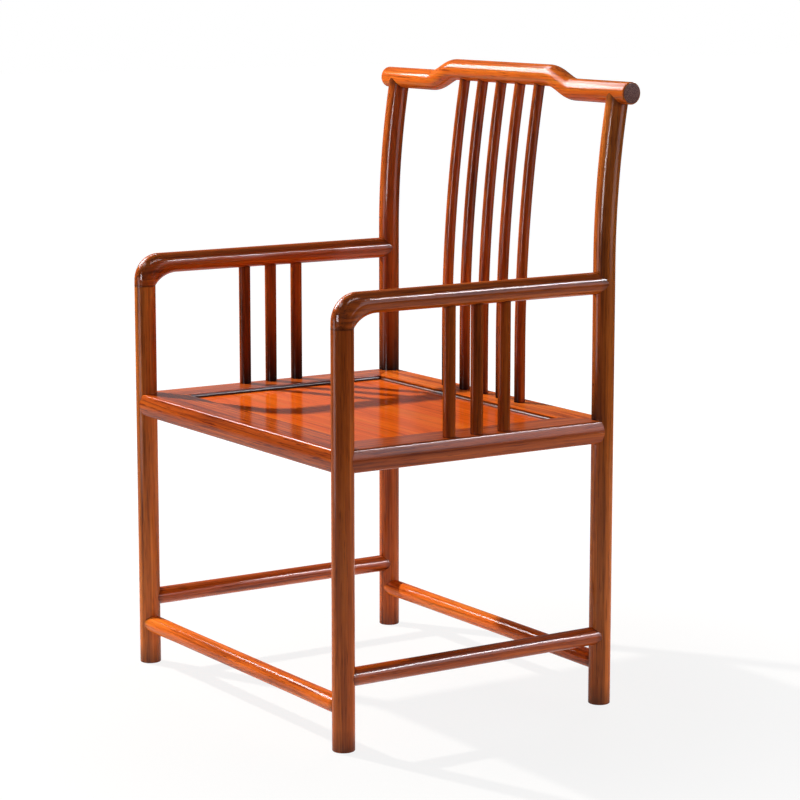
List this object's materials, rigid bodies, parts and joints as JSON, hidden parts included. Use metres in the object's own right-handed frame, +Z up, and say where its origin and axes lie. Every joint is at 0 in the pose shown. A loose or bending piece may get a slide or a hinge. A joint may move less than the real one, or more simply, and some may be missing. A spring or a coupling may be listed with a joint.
{
  "type": "armchair",
  "caption": "Rigid hardwood armchair of round bars: yoke crest rail over a comb of bent spindles, level arms on spindles, sunk board seat, low stretchers.",
  "frame": {"origin": "on the floor, under the middle of the chair's outer box", "axes": "+Z up, the chair faces -Y, +X to the right for someone who looks at its front"},
  "size_m": [0.65, 0.5098, 0.9537],
  "materials": {
    "leg_wood": "glossy lacquer",
    "rail_wood": "glossy lacquer",
    "panel_wood": "glossy lacquer",
    "crest_wood": "glossy lacquer"
  },
  "bodies": {
    "root": {"front_leg_left": "leg_wood", "back_leg_left": "leg_wood", "front_leg_right": "leg_wood", "back_leg_right": "leg_wood", "crest_rail": "crest_wood", "back_spindle_1": "leg_wood", "back_spindle_2": "leg_wood", "back_spindle_3": "leg_wood", "back_spindle_4": "leg_wood", "back_spindle_5": "leg_wood", "arm_left": "leg_wood", "arm_right": "leg_wood", "arm_spindle_left_1": "leg_wood", "arm_spindle_left_2": "leg_wood", "arm_spindle_left_3": "leg_wood", "arm_spindle_right_1": "leg_wood", "arm_spindle_right_2": "leg_wood", "arm_spindle_right_3": "leg_wood", "seat_rail_front": "rail_wood", "seat_rail_back": "rail_wood", "seat_rail_left": "rail_wood", "seat_rail_right": "rail_wood", "seat_panel": "panel_wood", "seat_batten_left": "rail_wood", "seat_batten_right": "rail_wood", "stretcher_front": "rail_wood", "stretcher_back": "rail_wood", "stretcher_left": "rail_wood", "stretcher_right": "rail_wood"}
  },
  "joints": []
}
